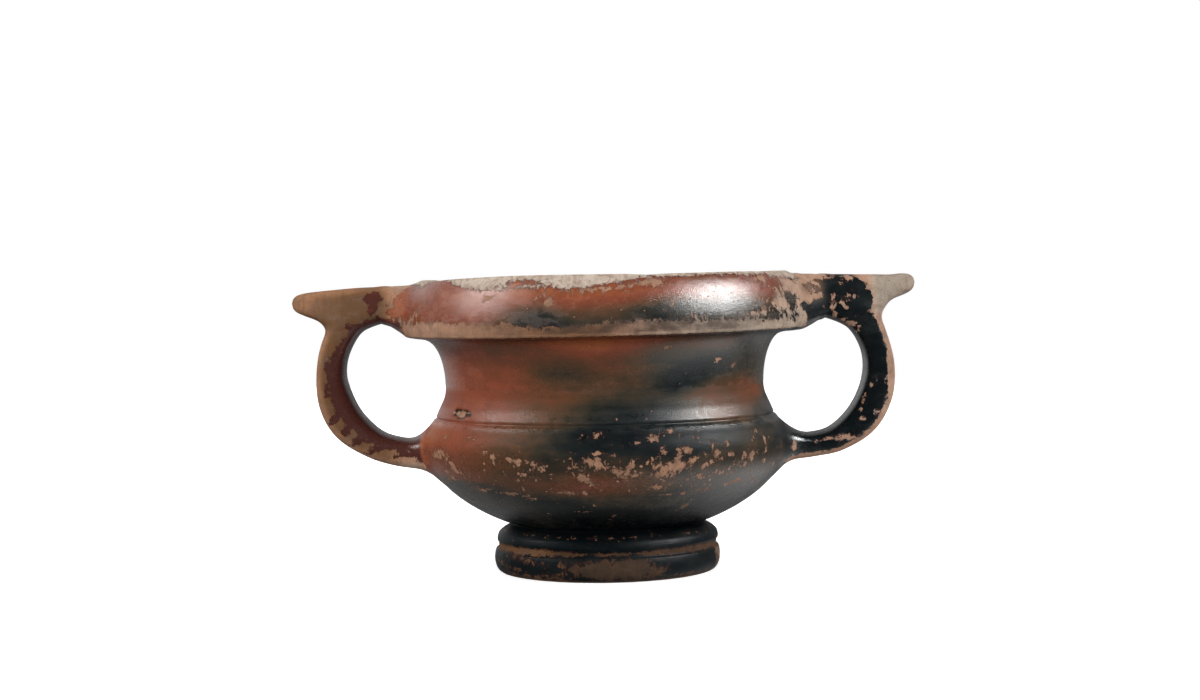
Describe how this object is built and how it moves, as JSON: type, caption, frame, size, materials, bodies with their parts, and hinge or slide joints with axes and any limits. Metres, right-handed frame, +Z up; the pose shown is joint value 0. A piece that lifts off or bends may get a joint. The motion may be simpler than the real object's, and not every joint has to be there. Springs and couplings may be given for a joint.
{
  "type": "kantharos",
  "caption": "Low two-handled drinking cup of fired clay: a hollow bowl with a concave neck and a moulded rim, on a ring foot, with spurred vertical strap handles.",
  "frame": {"origin": "on the table, under the middle of the foot's resting ring", "axes": "+Z up the cup's axis, +X through the handle whose thumb rest stands higher, Y across the handles' straps"},
  "size_m": [0.144, 0.0928, 0.0685],
  "materials": {
    "glossed_clay": "worn satin black and red-brown gloss over buff clay"
  },
  "bodies": {
    "root": {"kantharos": "glossed_clay"}
  },
  "joints": []
}
